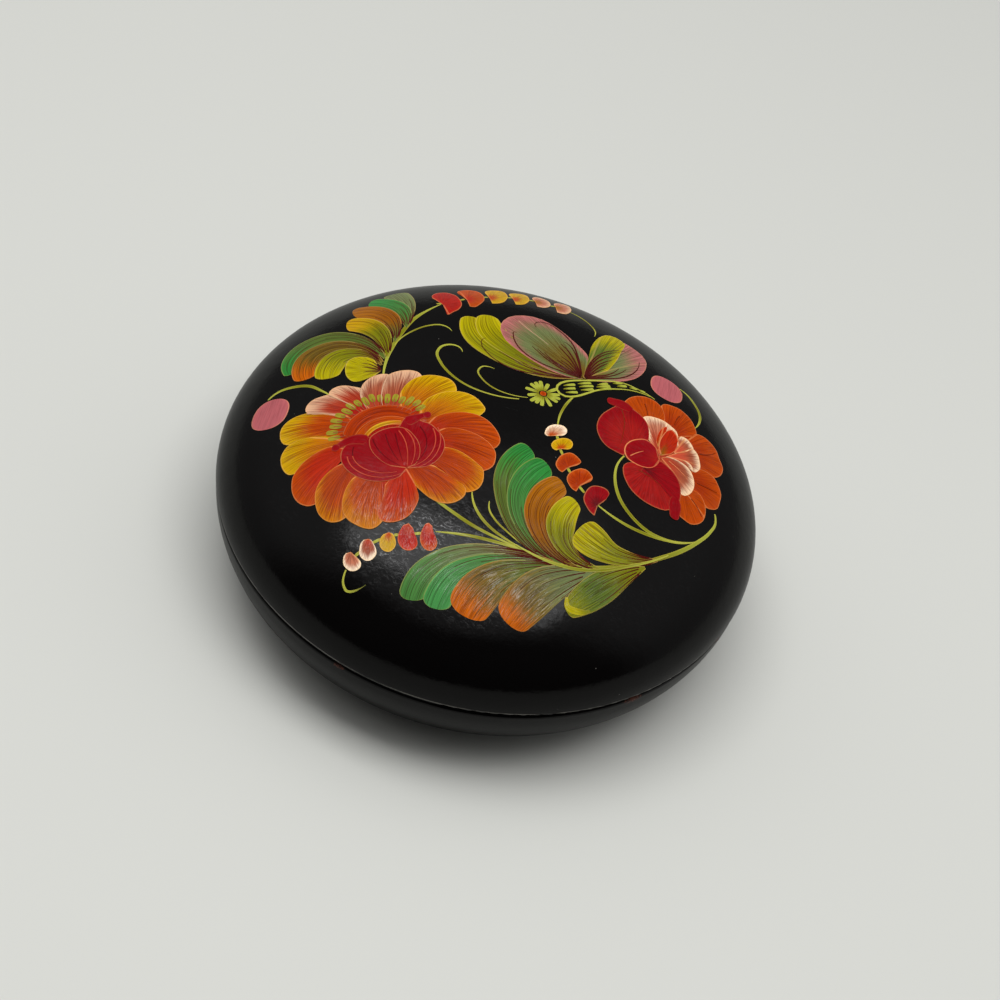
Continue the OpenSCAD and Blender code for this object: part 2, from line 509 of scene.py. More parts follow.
    def dry(self):
        mesh = bpy.data.meshes.new(self.name)
        mesh.from_pydata((np.concatenate(self.points) * mm).tolist(), [], self.faces)
        mesh.polygons.foreach_set("use_smooth", self.smooth)
        for name, rows in self.marks.items():
            isInk = name.startswith("ink")
            layer = mesh.attributes.new(name, "FLOAT_COLOR" if isInk else "FLOAT_VECTOR", "POINT")
            values = np.concatenate(rows).astype(np.float32).ravel()
            layer.data.foreach_set("color" if isInk else "vector", values)
        mesh.materials.append(flowerPaint)
        mesh.validate()
        mesh.update()
        piece = bpy.data.objects.new(self.name, mesh)
        bpy.context.scene.collection.objects.link(piece)
        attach(piece, "lid")
        print(self.name, "painted:", self.count, "strokes,", len(self.faces), "faces")


# stems first, so that flowers and leaves lie over their ends

stems = {
    "ink": "lime olive lime",
    # points along each stem in mm on the plan, and half its width
    "stems": [
        ([(55.7, -4.2), (56.3, -6.5), (55.2, -10.8), (52.4, -16), (48.8, -21), (44, -26), (40, -29.6),
          (35, -33.2), (30, -35.9), (24.5, -37.9), (18, -38.8), (12, -38.6)], 0.52),
        ([(29.8, -2.2), (28.5, -6.5), (28.9, -11), (31, -15.6), (34.8, -19), (40, -20.9), (45, -20.3),
          (49.6, -18), (52, -16)], 0.46),
        ([(26.3, -20.2), (30, -21.4), (35, -22.1), (40, -21.7), (45, -20.4), (49, -18.4)], 0.4),
        ([(-15.5, -30.5), (-12, -32.2), (-7, -34.5), (-1.5, -36.6), (5, -38), (12, -38.8)], 0.42),
        ([(-3.8, -28), (-2.6, -31), (-0.5, -33.6), (2.5, -35.8), (7, -37.6), (12.5, -38.7)], 0.36),
        ([(0.8, -29.2), (1.3, -31.4), (3.4, -33.7), (7, -35.8), (11.5, -37.8)], 0.24),
        ([(13, -38.9), (6, -39), (-1, -39.3), (-9.5, -40.4)], 0.38),
        ([(-33.2, 3.5), (-33.7, 9.5), (-33.3, 15.5), (-32.3, 22), (-30.7, 28.6), (-28.4, 33.4),
          (-25.4, 38.2)], 0.58),
        ([(-33, 15.5), (-31.8, 19.5), (-29.6, 23), (-26.6, 26), (-23.6, 27.2), (-21.4, 26.4),
          (-20.3, 25)], 0.26),
        ([(-59.3, -5.4), (-57.6, -3.2), (-54, -1.9), (-50, -2), (-47, -3.6), (-43.5, -5.8)], 0.46),
        ([(40.6, 35.3), (43, 34.6), (45.4, 32.2), (47.2, 28.6), (47.4, 25), (46.4, 21)], 0.42),
        ([(1, 4.2), (-6, 3.2), (-12, 4.3), (-17, 7.2), (-20.4, 11), (-22.1, 15), (-21.2, 18), (-19, 19.1),
          (-17, 18.5), (-16, 16.9)], 0.36),
        ([(3, 5.6), (-1.5, 4.9), (-5.6, 5.6), (-9, 7.8), (-10.8, 10.8), (-10, 12.8), (-8.3, 13.2),
          (-7, 12.9)], 0.22),
        ([(11.9, -0.6), (11.8, 2.5), (12.3, 6), (13.3, 9.5), (14.2, 11.6)], 0.34),
        ([(7.6, 52.2), (11, 50.6), (13.8, 47.8), (15.5, 44.4), (15.5, 41.5)], 0.2),
    ],
    # short links between the berries: x and y where each starts, and where it ends
    "links": [
        (-26.6, 38.2, -25, 38.9), (-21, 42.4, -20, 43.5), (-15.6, 46.9, -14.3, 47.5),
        (-9.5, 50, -8.1, 50.9), (-3.8, 52.1, -2.3, 52.6), (2, 52.1, 3.5, 53),
        (12.4, -4.2, 12.8, -5.3), (14, -8.1, 14.9, -9.6), (16.8, -12.9, 17.8, -14.1),
        (20.4, -16.8, 22.3, -18.3), (-12.6, -41.5, -14.2, -42), (-17.7, -42.9, -18.7, -43.2),
        (-21.4, -44.6, -23.1, -45.8), (-25.3, -48.1, -26.1, -49.2),
    ],
    "linkWidths": (0.3, 0.36, 0.3),               # mm, half of each
}


def paintStems():
    motif = Motif("stems")
    for points, width in stems["stems"]:
        motif.line(stems["ink"], points, width, ends=(0.4, 0.2), rise=0.15)
    for x0, y0, x1, y1 in stems["links"]:
        points = [(x0, y0), ((x0 + x1) / 2, (y0 + y1) / 2), (x1, y1)]
        motif.stroke("straw lime straw", points, stems["linkWidths"], rootRound=0.6, tipRound=0.6,
                     streak=0.3, rim=0.3, rise=0.1, columns=4)
    motif.dry()


# large flower: petals in the order they were laid, then stamens and the folded heart

largeFlower = {
    "underlay": ("crimson fire deepOrange", (-27, -19), [
        (-38, -26), (-40.5, -20), (-40.5, -14), (-37, -8), (-33, -4), (-27, -2.5), (-20, -3.6), (-15, -8),
        (-9.4, -15), (-8.6, -19), (-10, -24.5), (-16, -30), (-21, -34), (-24.4, -37.4), (-31, -34.5),
        (-36, -29)]),
    # inks from root to tip, the brush marks' bend, how late the inks change, root, and the tip's edge
    "petals": [
        ("deepOrange orange gold", -0.2, 1.3, (-34, -15.5), [
            (-41, -20.4), (-46, -20.8), (-49.6, -21.3), (-50.8, -21.2), (-52.1, -20.1), (-52.9, -18.3),
            (-53.2, -16.2), (-52.5, -14.3), (-50.8, -12.6), (-48.5, -11.6), (-44, -10.4),
            (-40.5, -10.6)]),
        ("red rose shell", -0.2, 1.5, (-33, -12), [
            (-41, -12.4), (-44, -11.9), (-47.7, -11.7), (-48.7, -11), (-49, -9.7), (-48.7, -8.2),
            (-47.7, -6.8), (-46, -5.8), (-43.5, -4.8), (-39.5, -5.6)]),
        ("red rose shell", -0.2, 1.6, (-32, -12), [
            (-39.2, -8.1), (-42, -6.8), (-44.2, -5.6), (-44.7, -4.6), (-44.4, -3.5), (-43.1, -2.2),
            (-41.7, -1.8), (-39.4, -2), (-36.4, -2.6)]),
        ("rose clay shell", -0.1, 1.7, (-28.5, -13), [
            (-33, -1), (-32.4, 2.6), (-30.6, 4.7), (-29, 5.6), (-26.9, 6.1), (-25, 5.8), (-24, 4.9),
            (-23.4, 3)]),
        ("rose clay shell", 0.15, 1.8, (-31, -11), [
            (-35.6, -7.5), (-37.1, -4), (-37.3, -1.4), (-36.5, 0.9), (-35, 2.6), (-33.3, 3.5),
            (-31.9, 3.5)]),
        ("orange amber gold", 0.25, 1, (-25.5, -10), [
            (-27.5, -2.5), (-26.7, 1.1), (-25.2, 3.5), (-23, 5.1), (-19.4, 5.7), (-16.8, 5.2), (-15, 3.4),
            (-14.4, 1.2), (-16, -1)]),
        ("deepOrange amber gold", 0.25, 1, (-20.5, -12), [
            (-21.6, -5.5), (-21, -3.5), (-19.4, -1.4), (-16.9, 0.5), (-13.1, 1.6), (-11, 1.4), (-9, 0.5),
            (-7.1, -1.2), (-6.2, -2.6), (-6.5, -3.8), (-7.5, -5.5), (-9, -6.5)]),
        ("fire deepOrange orange", 0.25, 1, (-19.5, -13.5), [
            (-17.5, -8.6), (-13.1, -5.8), (-10.2, -5), (-7.7, -5), (-5.2, -5.8), (-3.1, -7.4),
            (-1.5, -9.3), (-0.6, -11.4), (-0.8, -13), (-1.7, -14.3), (-4, -14.5)]),
        ("fire deepOrange orange", 0.25, 1, (-19, -16.5), [
            (-14.5, -11.6), (-12, -10.8), (-9, -10.8), (-6, -11.4), (-3.5, -12.6),
            (-1.9, -13.9), (-1, -15.1), (-0.5, -17.2), (-0.6, -19.3), (-1.5, -20.7), (-3, -21.8)]),
        ("deepOrange orange amber", 0.25, 2.2, (-19, -20.5), [
            (-13, -17.3), (-9.8, -17.4), (-6.9, -18.5), (-4.4, -19.9), (-2.8, -21),
            (-2.1, -23), (-2, -25.1), (-2.7, -27), (-3.8, -28), (-5.2, -28.6), (-7, -28.4)]),
        ("deepOrange orange amber", 0.22, 2.2, (-21.5, -23.6), [
            (-14, -23.4), (-10.6, -25), (-7.7, -26.2), (-5.6, -27.4), (-5.1, -28.9), (-6, -31),
            (-7.7, -32.4), (-10.2, -33), (-12.3, -32.6), (-14.8, -31.4), (-16.6, -30.2), (-18.6, -28.4)]),
        ("deepOrange amber gold", -0.25, 1, (-35, -20), [
            (-40.5, -19.6), (-45.6, -19.3), (-48.1, -20.1), (-50, -21.6), (-50.6, -23), (-50.8, -24.7),
            (-50.2, -26.8), (-49, -28.7), (-47.3, -29.9), (-46, -29.6), (-44, -28)]),
        ("fire fire orange", -0.25, 1.4, (-34.5, -22.5), [
            (-39.6, -21.8), (-42.9, -24.1), (-44.8, -26.4), (-45.8, -28.5), (-46.3, -30.5), (-46, -32.6),
            (-45.2, -34.7), (-43.8, -36.6), (-41.9, -37.8), (-40.2, -38.1), (-38.6, -37.4)]),
        ("deepOrange orange amber", -0.2, 1.8, (-32.5, -24.5), [
            (-36.6, -27.2), (-39, -30.5), (-39.8, -33.5), (-39.6, -35.5), (-38.7, -38), (-37.5, -39.9),
            (-35.6, -41.4), (-33.5, -41.9), (-31.8, -41.4), (-30.6, -40)]),
        ("deepOrange orange amber", -0.15, 1.8, (-26, -24), [
            (-32.2, -30.5), (-33, -34.7), (-32.7, -37.2), (-31.7, -39.5), (-30.2, -41), (-28.1, -42),
            (-26, -42.6), (-24, -42.5), (-22.9, -41.6), (-22.2, -40.3)]),
        ("fire fire orange", 0.12, 1.4, (-22, -24), [
            (-24.2, -31), (-23.7, -35), (-24, -38.5), (-23.1, -39.9), (-21.9, -40.4), (-19.8, -40.2),
            (-17.7, -39.1), (-16.2, -37.2), (-15.6, -35.1), (-15.5, -33), (-16.5, -30.8), (-18, -28.6)]),
    ],
    "creamLines": [
        [(-44.4, -5.4), (-42.1, -6.6), (-39.6, -7.8), (-37.2, -9.2)],
        [(-48.2, -11.8), (-46.1, -11.6), (-43.3, -11.8), (-41.2, -12.2)],
        [(-31.8, 3.4), (-32.2, 0.6), (-32.1, -2.4), (-31.5, -5.6), (-30.6, -7.9)],
        [(-37.1, -2.2), (-36.8, -4.9), (-36, -6.6), (-34.2, -9.2)],
    ],
    "stamenArc": [(-39.6, -19.3), (-40.5, -16.4), (-40, -12.8), (-37.2, -8.1), (-33.6, -5.7),
                  (-28, -4.8), (-23, -5.3), (-21.5, -6.4)],
    "stamenAim": (-28.5, -15),
    "stamens": 17,
    "stamenWidths": (0.5, 0.74, 0.4),             # mm, half of each
    "stamenThread": 4,                            # mm
    "heart": (-20.3, -25.6),
    # the heart's dome: inks, points along each band, and half its widths there
    "dome": [
        ("deepOrange deepOrange deepOrange", [(-36, -18.5), (-34.5, -13), (-30.5, -9.9), (-23.6, -9.6)],
         (1.8, 2.3, 2.3, 1.9)),
        ("orange orange orange", [(-33.6, -19), (-31.8, -14.6), (-28.5, -12.4), (-24.3, -12)],
         (1.4, 1.5, 1.5, 1.2)),
        ("amber gold amber", [(-32.4, -18.5), (-30.8, -15), (-28, -13), (-25, -12.2)],
         (0.5, 0.6, 0.6, 0.5)),
    ],
    # the two folds: edge, hook, half the hook's widths, and the knob at its end
    "folds": [
        ([(-25.9, -14.6), (-25.1, -13.2), (-24.6, -10.9), (-23.8, -9.7), (-22, -10), (-20.4, -10.7),
          (-18.2, -11.1), (-15.9, -12.7), (-14.2, -14.4), (-13.2, -16.6), (-13.1, -19), (-13.8, -21.5),
          (-15.2, -23.4), (-17, -24.6)],
         [(-24, -11.8), (-22.4, -10.6), (-20.9, -9.3), (-19.6, -8.5)], (1.6, 1.4, 0.9, 0.9),
         (-19.5, -8.5)),
        ([(-30.4, -18.6), (-32.5, -18), (-34.4, -18.6), (-36.2, -21), (-36.8, -23.1), (-36.6, -24.7),
          (-35.9, -26.3), (-34.4, -28), (-30.8, -30), (-27, -30.5), (-23.6, -29.7), (-21.2, -28)],
         [(-31.6, -19.2), (-34.1, -19.2), (-35.9, -19.9), (-37.5, -21.3), (-38.5, -22.3)],
         (1.4, 1.5, 1.2, 0.9, 0.7), (-38.4, -22.2)),
    ],
    "knobReach": 0.9,                             # mm from a knob's middle to either end
    "knobWidths": (1, 1.05, 1),                   # mm, half of each
    "egg": [(-24.1, -25.7), (-28, -23.8), (-30.6, -20.8), (-31.2, -18.3), (-29.7, -16.1), (-27.4, -14.5),
            (-25.1, -13.8), (-23.1, -14.1), (-21.1, -15.6), (-19.4, -17.6), (-18.5, -19.8),
            (-18.3, -22.4), (-18.7, -24.2)],
    "paleLines": [
        [(-16.2, -11.8), (-14.7, -14.9), (-14.4, -18.8), (-15.4, -22.1), (-18.1, -24.9)],
        [(-17.2, -12.4), (-15.8, -15.4), (-15.6, -19), (-16.6, -22), (-18.9, -24.6)],
        [(-23.6, -14.3), (-21.2, -16.7), (-19.7, -20.2), (-19.6, -24.4)],
        [(-25, -15), (-22.7, -17.8), (-21.2, -21.4), (-20.4, -25.2)],
        [(-35, -24.5), (-33.5, -26.9), (-30.5, -28.7), (-26.8, -29.3), (-23.3, -28.5), (-20.2, -26.3)],
        [(-33.8, -24.2), (-32.2, -26.2), (-29.6, -27.6), (-26.2, -28), (-22.4, -27)],
    ],
    "darkLines": [
        [(-30.4, -18.6), (-28.8, -21), (-26, -23.4), (-22, -25.2)],
        [(-34.2, -21.6), (-33.8, -24), (-32, -26)],
        [(-27.8, -16.6), (-26, -20), (-22.8, -23.8)],
        [(-25.6, -16), (-24, -19.6), (-21.8, -23.8)],
        [(-20.4, -12.6), (-18, -15.8), (-17.4, -20), (-18.8, -23.6)],
    ],
}


def paintLargeFlower():
    motif = Motif("flower_large", layer=10)
    motif.fan(*largeFlower["underlay"], streak=1, rim=0)
    for colours, bend, late, root, tipEdge in largeFlower["petals"]:
        motif.fan(colours, root, tipEdge, streak=1, rim=1, bend=bend, late=late)
    for points in largeFlower["creamLines"]:
        motif.hair("shell", points, 0.17)
    arc, _ = smoothCurve(largeFlower["stamenArc"], np.linspace(0, 1, largeFlower["stamens"]))
    aim = np.array(largeFlower["stamenAim"])
    for i, point in enumerate(arc):
        inward = (aim - point) / np.linalg.norm(aim - point)
        out, deep = 1.4 + 0.3 * math.sin(2.3 * i), 1.5 + 0.4 * math.sin(4.1 * i)
        ends = [tuple(point - inward * out), tuple(point), tuple(point + inward * deep)]
        motif.hair("clay", [tuple(point), tuple(point + inward * largeFlower["stamenThread"])], 0.16)
        motif.stroke("straw straw olive", ends, largeFlower["stamenWidths"], rootRound=0.8, tipRound=0.8,
                     streak=0.5, rim=0.2, rise=0.1, columns=4)
    for colours, spine, widths in largeFlower["dome"]:
        motif.stroke(colours, spine, widths, rootRound=0.4, tipRound=0.4, rim=0.5)
    heart = largeFlower["heart"]
    reach = largeFlower["knobReach"]
    for fold, hook, widths, (x, y) in largeFlower["folds"]:
        motif.fan("ruby crimson crimson", heart, fold, streak=0.5, rim=0.9)
        motif.stroke("crimson crimson crimson", hook, widths, rootRound=0.6, streak=0.4, rim=0.25)
        knob = [(x - reach, y), (x, y), (x + reach, y)]
        motif.stroke("crimson crimson crimson", knob, largeFlower["knobWidths"], rootRound=0.9,
                     tipRound=0.9, streak=0.3, rim=0.2)
    motif.fan("ruby crimson crimson", heart, largeFlower["egg"], streak=0.5, rim=0.9)
    for points in largeFlower["paleLines"]:
        motif.hair("coral", points, 0.14)
    for points in largeFlower["darkLines"]:
        motif.hair("wine", points, 0.13)
    motif.dry()


# side flower, seen from its edge: orange outer petals, a pale fan and three crimson petals

sideFlower = {
    # inks from root to tip, how late they change, root, and the edge of the petal's tip
    "petals": [
        ("rose deepOrange deepOrange", 1, (38, 3), [
            (35, 10), (37, 15), (41, 17), (45.4, 16.6), (48.4, 13.6), (49.6, 9), (50, 5), (49.4, 0),
            (48.4, -3.6), (46, -6), (43, -4)]),
        ("deepOrange deepOrange orange", 1, (39.4, 10.6), [
            (37.2, 19.3), (36.4, 22.2), (37.5, 23.9), (39.1, 24.6), (41.6, 25.1), (43.6, 24.4),
            (45.2, 23.1), (46.2, 21.4), (47, 18.9), (45.8, 16.7)]),
        ("deepOrange orange orange", 1, (35.2, 9.8), [
            (28.6, 15.4), (26.9, 16.2), (27.4, 18.3), (28.7, 20.3), (30.7, 22), (32.7, 22.8),
            (34.9, 22.7), (36.5, 21.6), (37.5, 19.6), (38, 17)]),
        ("deepOrange deepOrange orange", 1, (42.4, 8.3), [
            (45.7, 15.7), (46.9, 18.8), (48.9, 19.7), (51, 19.4), (53, 18.1), (54.4, 15.4), (55.7, 13.1),
            (55.7, 10.8), (54.9, 8.6), (53.7, 7.2), (49.6, 6.4)]),
        ("deepOrange deepOrange orange", 1, (45, 0.3), [
            (47.9, 4.6), (49.6, 6.6), (51.8, 7.3), (53.6, 7.1), (55.3, 5.4), (56.4, 3.2), (56.4, 0.7),
            (55.8, -2.5), (54.2, -3.9), (52.6, -4.4), (49.2, -2)]),
        ("deepOrange orange orange", 1, (45.8, -3.2), [
            (47, -3.9), (49.1, -1.5), (50.8, -1.7), (52.3, -3.2), (53.1, -5.7), (52.9, -8.7),
            (51.4, -11.1), (49.6, -12.2), (48, -12.1), (46.5, -11.7), (45.6, -8.8)]),
        ("rose blush ivory", 2.0, (38, 4.4), [
            (34.6, 7.1), (34, 11.6), (32.3, 13.9), (33.4, 15.2), (35.4, 16.1), (37.6, 16.5),
            (39.8, 16), (41.6, 15), (42.2, 13.6), (42.2, 10.4)]),
        ("brown deepOrange fire", 1, (37.6, 5.7), [
            (36.9, 7.3), (36.9, 9.9), (37.3, 12.1), (38, 13.9), (38.9, 14.9), (38.9, 13.3), (38.2, 10.8),
            (37.7, 7.8)]),
        ("brown fire fire", 1, (38.7, 3.4), [
            (37.8, 5), (37.7, 7.8), (38.2, 10.8), (39.1, 13.2), (40.2, 14.6), (41.4, 13.9), (42.3, 12.1),
            (42.8, 10.5), (42.3, 8.1), (41, 5.5)]),
        ("coral clay ivory", 2.2, (41.9, 6.6), [
            (42.9, 9.9), (42.6, 13.1), (42.9, 14), (44.4, 14.5), (45.9, 13.7), (46.9, 12.1), (45, 9.5)]),
        ("coral clay ivory", 2.6, (40.3, 4.3), [
            (42.4, 6.9), (45, 9.5), (46.8, 12.2), (48.2, 11.2), (49, 9.3), (49.5, 7), (49, 5.3),
            (48.1, 4.2), (47.2, 5.8), (45.5, 6.3)]),
        ("rose clay ivory", 2.2, (38.9, 2.7), [
            (40.3, 4.1), (42.4, 4.8), (44.6, 4.9), (46.6, 4.3), (48, 2.6), (48.7, 0.7), (48.7, -1.7),
            (47.7, -4.2), (46.4, -5.3), (45.7, -5.2), (45.3, -3.5), (43.9, -1.2), (41.9, 0.8)]),
        ("ruby ruby crimson", 1, (31.4, 2.2), [
            (29.5, -2.4), (27.5, -2.2), (25.6, -1.9), (24, -1.1), (22.5, 0.6), (21.7, 2.2),
            (21.3, 3.8), (21.3, 5.9), (21.9, 8.5), (23, 10.7), (24.3, 12.8), (26, 15.1), (28, 15.6),
            (30.3, 14.9), (32.4, 13.8), (33.9, 11.9), (34.6, 9.4), (34.9, 6.6)]),
        ("crimson ruby ruby", 1, (37, -1.8), [
            (32.3, -3.2), (30.1, -5.4), (30.4, -7.8), (31.4, -9.7), (33.1, -11.6), (35.3, -12.8),
            (38.1, -13.4), (40.7, -13.3), (42.7, -12.7), (44.3, -11.2), (45.8, -8.4), (45.8, -5.8),
            (45.5, -3.8), (44.5, -1.5), (42.9, 0.1), (40.8, 1.2), (39, 1.8)]),
        ("wine crimson crimson", 1, (35, -3.2), [
            (34.5, -4.8), (37.1, -5.3), (40.4, -6.4), (43.2, -7.8), (45, -9), (45.7, -7.5), (45.7, -5.5),
            (45.4, -3.8), (44.4, -1.5), (42.8, 0), (40.6, 1), (38.6, 1.4)]),
    ],
    # how clearly each petal's edge shows, in the same order
    "rims": (0, 0.8, 0.8, 0.8, 0.8, 0.8, 1, 1, 1, 1, 1, 1, 0.7, 0.7, 0.15),
    "hooks": [[(28.9, 14.4), (26.7, 15), (24.6, 14.9), (22.4, 14.5)],
              [(44.6, -7.4), (44.9, -9.9), (45.2, -11.9), (45.4, -13.7)]],
    "hookWidths": (1, 1.7, 1.4, 1.2),             # mm, half of each
    "heart": (38.6, 1.6),
    "heartEdge": [(37.3, 4.9), (35.8, 5.9), (34.2, 6.2), (32.2, 5.1), (30.4, 3.2), (29.5, 1),
                  (29.7, -1.3), (30.6, -2.6), (32.3, -3.2), (34.6, -3.2), (36.6, -2.4), (37.9, -0.9)],
    "darkLines": [
        [(26.6, 13.2), (27.8, 9.4), (28.2, 5.2), (28.1, 0.9)], [(32, 19.5), (32.8, 17.6), (33.4, 15.5)],
        [(41.7, 22), (41, 19.6), (40.8, 17)], [(48.7, 11.8), (50.8, 13.5), (52.9, 16.5)],
        [(49.3, 1.2), (52.3, 1.9), (55.1, 2.7)], [(48.6, -4.8), (50.4, -5.9), (52.2, -8)],
        [(33.9, -4.8), (37.1, -5.2), (40.4, -6.2)],
    ],
    "paleLines": [
        [(31.2, -1.5), (32.9, 0.7), (34.2, 2)], [(41, 3), (44.4, 1.8), (46.8, 0.4)],
        [(42.4, 7), (45, 9.5), (46.6, 12)],
        [(38.7, 4), (37.8, 7), (38.3, 10.8), (39.2, 13.3), (40.3, 14.6)],
        [(40.3, 14.6), (41.5, 13.8), (42.4, 12), (42.8, 10.4), (42.2, 8), (40.9, 5.4)],
    ],
}


def paintSideFlower():
    motif = Motif("flower_side", layer=10)
    for (colours, late, root, tipEdge), rim in zip(sideFlower["petals"], sideFlower["rims"]):
        motif.fan(colours, root, tipEdge, streak=0.8, rim=rim, late=late)
    for hook in sideFlower["hooks"]:
        motif.stroke("crimson crimson crimson", hook, sideFlower["hookWidths"], streak=0.4, rim=0.15)
    motif.fan("ruby crimson crimson", sideFlower["heart"], sideFlower["heartEdge"], streak=0.5)
    closed = [sideFlower["heart"]] + sideFlower["heartEdge"] + [sideFlower["heart"]]
    motif.line("coral peach coral", closed, 0.13, ends=(0.6, 0.6))
    for points in sideFlower["darkLines"]:
        motif.hair("rust", points, 0.12)
    for points in sideFlower["paleLines"]:
        motif.hair("peach", points, 0.13)
    motif.dry()


# feathered leaves: leaflets pulled out from the stem, one over the other

lowerLeaf = {
    # inks from root to tip, points along the leaflet, half its widths there, how late the inks change
    "leaflets": [
        ("moss moss green", [(19, -38.8), (12.6, -37), (8, -33.2), (4.8, -27.8), (3.1, -21.5),
                             (4.2, -15.5), (7, -11)],
         (0.3, 1.3, 2.1, 2.7, 3, 3.2, 2.7), 1.4),
        ("moss jade green", [(21, -38.6), (14.5, -36.6), (10.8, -33.4), (8.2, -29), (7.4, -24),
                             (8.8, -19), (12, -14.1)],
         (0.3, 1.3, 2, 2.8, 3.3, 3.7, 2.8), 1.1),
        ("umber brown ochre", [(25, -37.9), (18.5, -36.6), (14.8, -33.4), (12.7, -29), (12.9, -24.4),
                               (16.8, -18)],
         (0.3, 1.4, 2.4, 3.3, 3.6, 2.6), 1),
        ("olive olive yellow", [(30, -36), (24.5, -36), (20.5, -33.8), (18.7, -30), (18.8, -26.4),
                                (20.9, -21.6)],
         (0.3, 1.4, 2.6, 3.6, 3.4, 2.1), 1),
        ("umber olive yellow", [(43.6, -26.8), (38.5, -29.6), (32.5, -31), (27.5, -30.2), (23, -28.6)],
         (0.3, 1.5, 2.8, 4.4, 4.3), 1),
        ("umber sage jade", [(19, -39), (8, -40.6), (0, -43), (-6.4, -47), (-10, -52), (-10.6, -56.6)],
         (0.3, 1.2, 2, 2.8, 3.3, 3.1), 1),
        ("sage jade mint", [(19, -39.6), (8.5, -42.4), (1.5, -46), (-3, -50.5), (-4.8, -57.2)],
         (0.3, 1.5, 2.4, 3.4, 3.3), 0.9),
        ("moss umber tangerine", [(23, -39.3), (13.5, -43), (7.7, -47), (4.2, -51.5), (2.2, -57.1)],
         (0.3, 2.2, 4, 5.1, 4.5), 2),
        ("sage umber tangerine", [(29, -37.6), (23.2, -41.6), (18.2, -46), (14.9, -50.8), (12.6, -55.8)],
         (0.5, 3.2, 4.8, 4.9, 3.8), 2),
        ("olive moss olive", [(41, -30.3), (36.6, -34.6), (32.2, -39.6), (28.4, -44.4), (25.2, -48.6)],
         (0.3, 2.2, 3.6, 3.3, 1.7), 1.4),
    ],
    "midrib": [(9.5, -38.2), (14, -39.1), (19, -39.4), (24.4, -38.7), (30.5, -36.4), (36.4, -32.5),
               (41.6, -28.4), (46, -24)],
    "paleTip": ("olive yellow yellow", [(30.6, -46.2), (27.6, -47.6), (25.2, -47.6), (24.4, -45.6)],
                (0.2, 0.7, 0.7, 0.3)),
}

upperLeaf = {
    "leaflets": [
        ("moss sage sage", [(-31.6, 25), (-32.6, 31), (-34.8, 37.4), (-38.8, 44)],
         (0.3, 1.5, 2.8, 3.6), 1),
        ("moss jade green", [(-31.8, 24), (-33.6, 30), (-37.4, 35.2), (-43.8, 37.4)],
         (0.3, 2.2, 3.2, 3), 1),
        ("moss brown ochre", [(-33.4, 17), (-34.8, 24), (-37.8, 28.8), (-41.5, 31), (-46.7, 30.5)],
         (0.3, 1.8, 3, 3.6, 3.4), 1),
        ("olive olive gold", [(-33.9, 10.5), (-35.8, 16.5), (-38.6, 21), (-42.3, 23.8), (-47.1, 24.3)],
         (0.3, 1.9, 3, 3.6, 3.1), 1),
        ("moss moss green", [(-34.2, 9.5), (-38.5, 14.2), (-44, 17), (-50, 17.6), (-55.5, 14.2),
                             (-57.3, 9.3), (-56, 3.2)],
         (0.3, 1.5, 2.4, 3, 3, 2.4, 1.5), 1.3),
        ("umber umber tangerine", [(-34.4, 8), (-38.5, 11.6), (-43.4, 13.6), (-48.5, 13.4), (-52.4, 10),
                                   (-53, 5.5), (-51.6, 0.6)],
         (0.3, 1.2, 2, 2.8, 3.4, 3.3, 2.5), 1.7),
        ("umber olive yellow", [(-34.4, 6.8), (-38, 9.6), (-42, 10.4), (-45.6, 9), (-46.8, 5.4),
                                (-46.4, 0.6)],
         (0.3, 1.3, 2.4, 3.3, 3.5, 2.7), 1),
    ],
    "roundLeaflet": ("umber yellow yellow", (-34, 4.6), [
        (-36.5, 8.4), (-39.7, 9.5), (-41.6, 9.1), (-42.8, 7.9), (-43.1, 6), (-42.8, 3.9), (-42, 1.8),
        (-40.8, 0.4), (-39.7, -0.2), (-38.2, 0.2), (-36.6, 1.4), (-35.2, 2.5)]),
    "roundVeins": [
        [(-34.2, 5), (-36, 7), (-38.4, 8.2)], [(-34.2, 4.8), (-36.2, 6.2), (-39.2, 6.9)],
        [(-34.2, 4.6), (-36.6, 5.2), (-38.8, 5.2)], [(-34.4, 4.3), (-36.6, 4), (-38.2, 3.4)],
    ],
}

leafVeins = {
    "ink": "maroon",
    "width": 0.13,                                # mm, half of it
    "across": (-0.75, -0.5, -0.2, 0.1, 0.4, 0.6, 0.85),    # from one side of a leaflet to the other
    # where they start and end, as shares of the leaflet's length
    "along": [(0.2, 0.44), (0.16, 0.6), (0.22, 0.42), (0.18, 0.52), (0.16, 0.64),
              (0.22, 0.5), (0.2, 0.4)],
    "roundWidth": 0.2,                            # mm, on the round leaflet
}


def paintLeaf(name, leaf):
    motif = Motif(name, layer=4)
    for colours, spine, widths, late in leaf["leaflets"]:
        grid = motif.stroke(colours, spine, widths, tipRound=0.6, rim=0.7, rise=2, late=late)
        motif.veins(leafVeins["ink"], grid, leafVeins["across"], leafVeins["along"], leafVeins["width"])
    if "roundLeaflet" in leaf:
        motif.fan(*leaf["roundLeaflet"], streak=1, rim=0.7, rise=2)
        for points in leaf["roundVeins"]:
            motif.hair(leafVeins["ink"], points, leafVeins["roundWidth"])
    if "paleTip" in leaf:
        colours, spine, widths = leaf["paleTip"]
        motif.stroke(colours, spine, widths, rootRound=0.5, tipRound=0.5, streak=0.4, rim=0.2, rise=2)
    if "midrib" in leaf:
        motif.line(stems["ink"], leaf["midrib"], 0.42)
    motif.dry()


# butterfly and the daisy at its head

